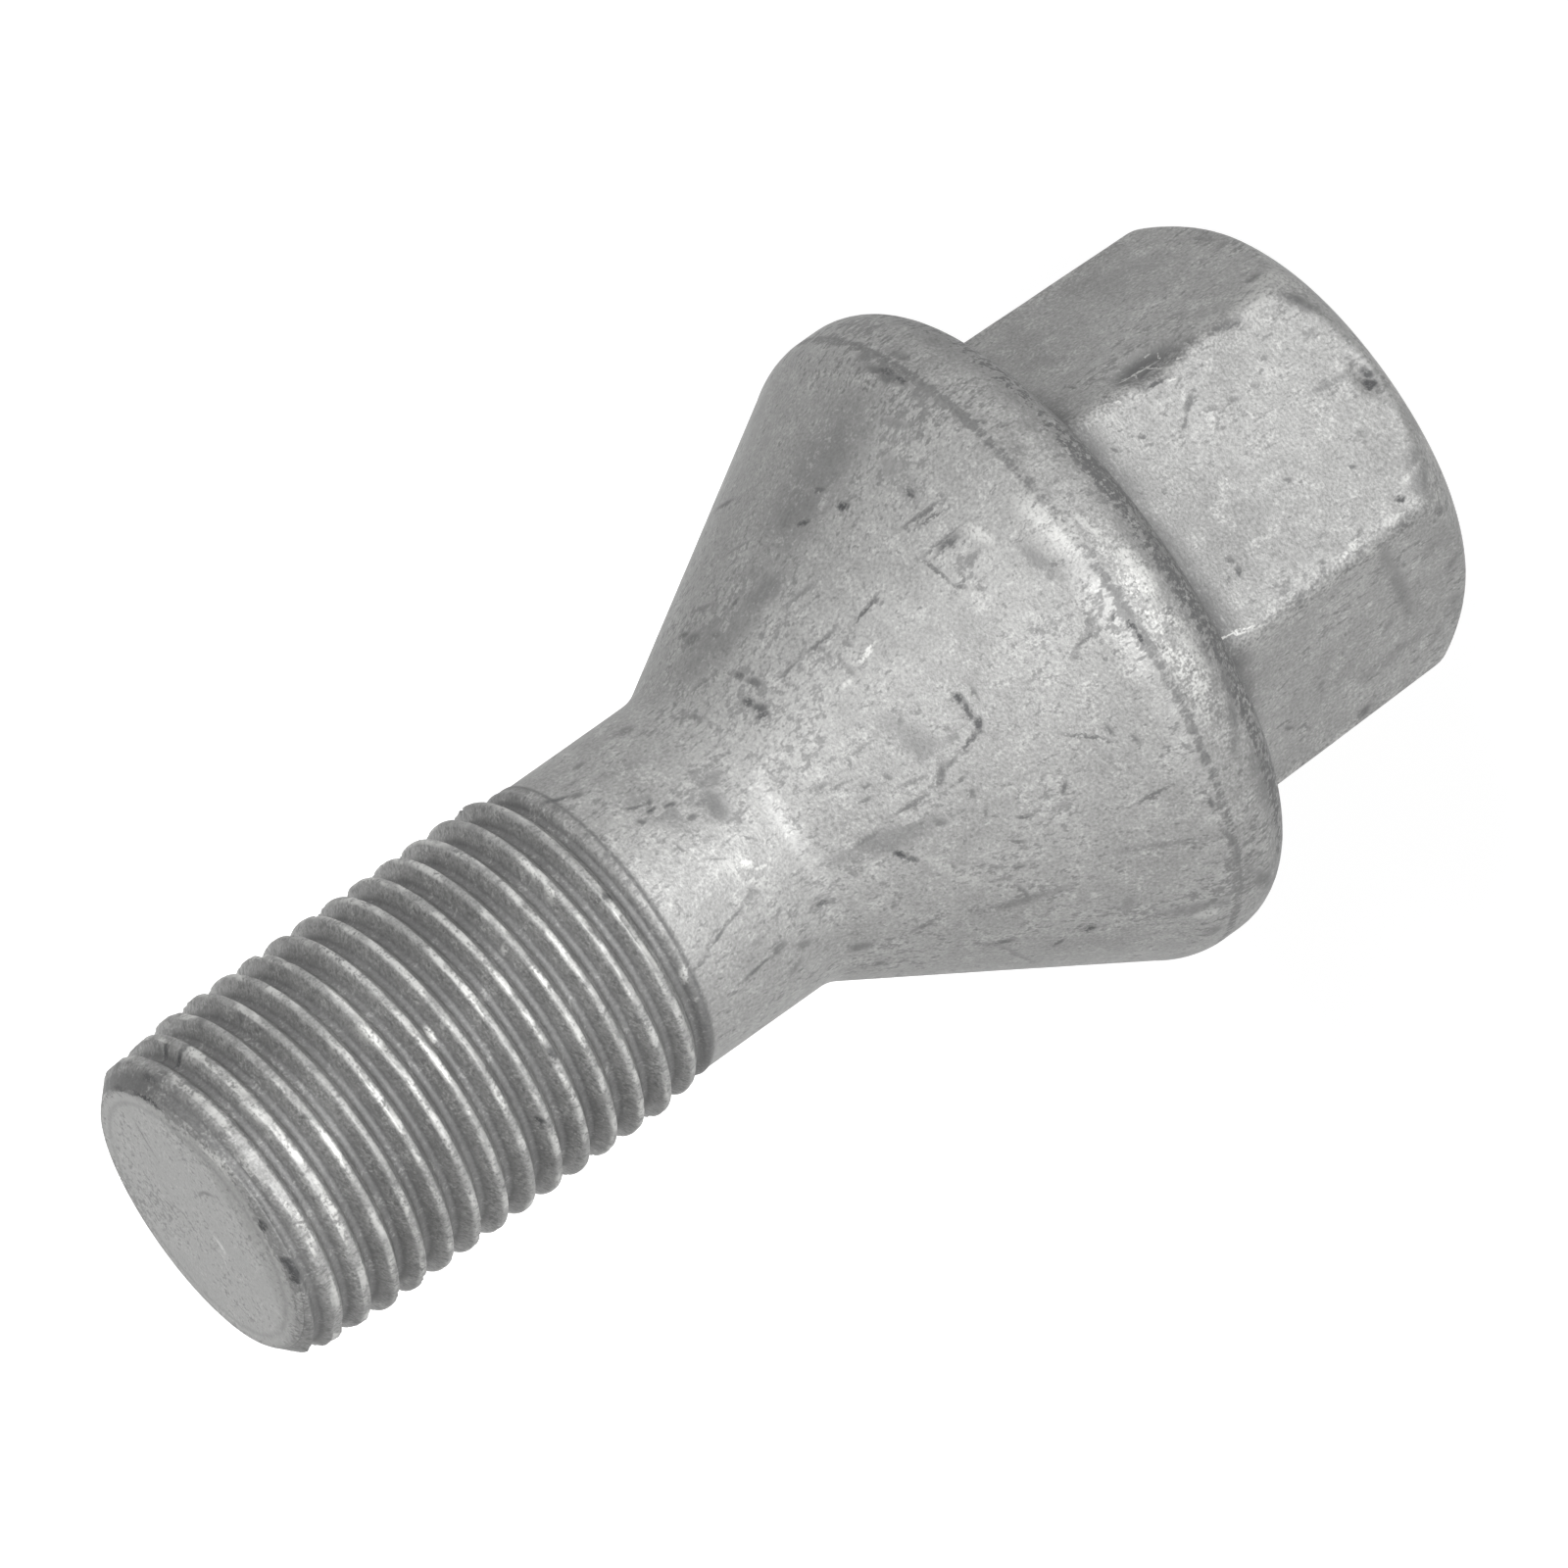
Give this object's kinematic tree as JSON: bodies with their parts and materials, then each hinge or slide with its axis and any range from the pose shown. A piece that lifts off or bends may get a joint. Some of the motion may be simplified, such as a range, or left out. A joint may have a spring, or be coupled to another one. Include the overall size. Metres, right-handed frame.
{
  "type": "wheel bolt",
  "caption": "Wheel bolt with a metric fine thread, a 60 degree cone seat and a plain hexagon head, in worn zinc flake grey.",
  "frame": {"origin": "centre of the flat end of the hexagon, on which the bolt stands", "axes": "+Z along the bolt's axis from the head to the thread tip, X through two opposite corners of the hexagon, Y across its flats"},
  "size_m": [0.0317, 0.0316, 0.0631],
  "materials": {
    "zinc_flake_steel": "matte"
  },
  "bodies": {
    "root": {"wheel_bolt": "zinc_flake_steel"}
  },
  "joints": []
}
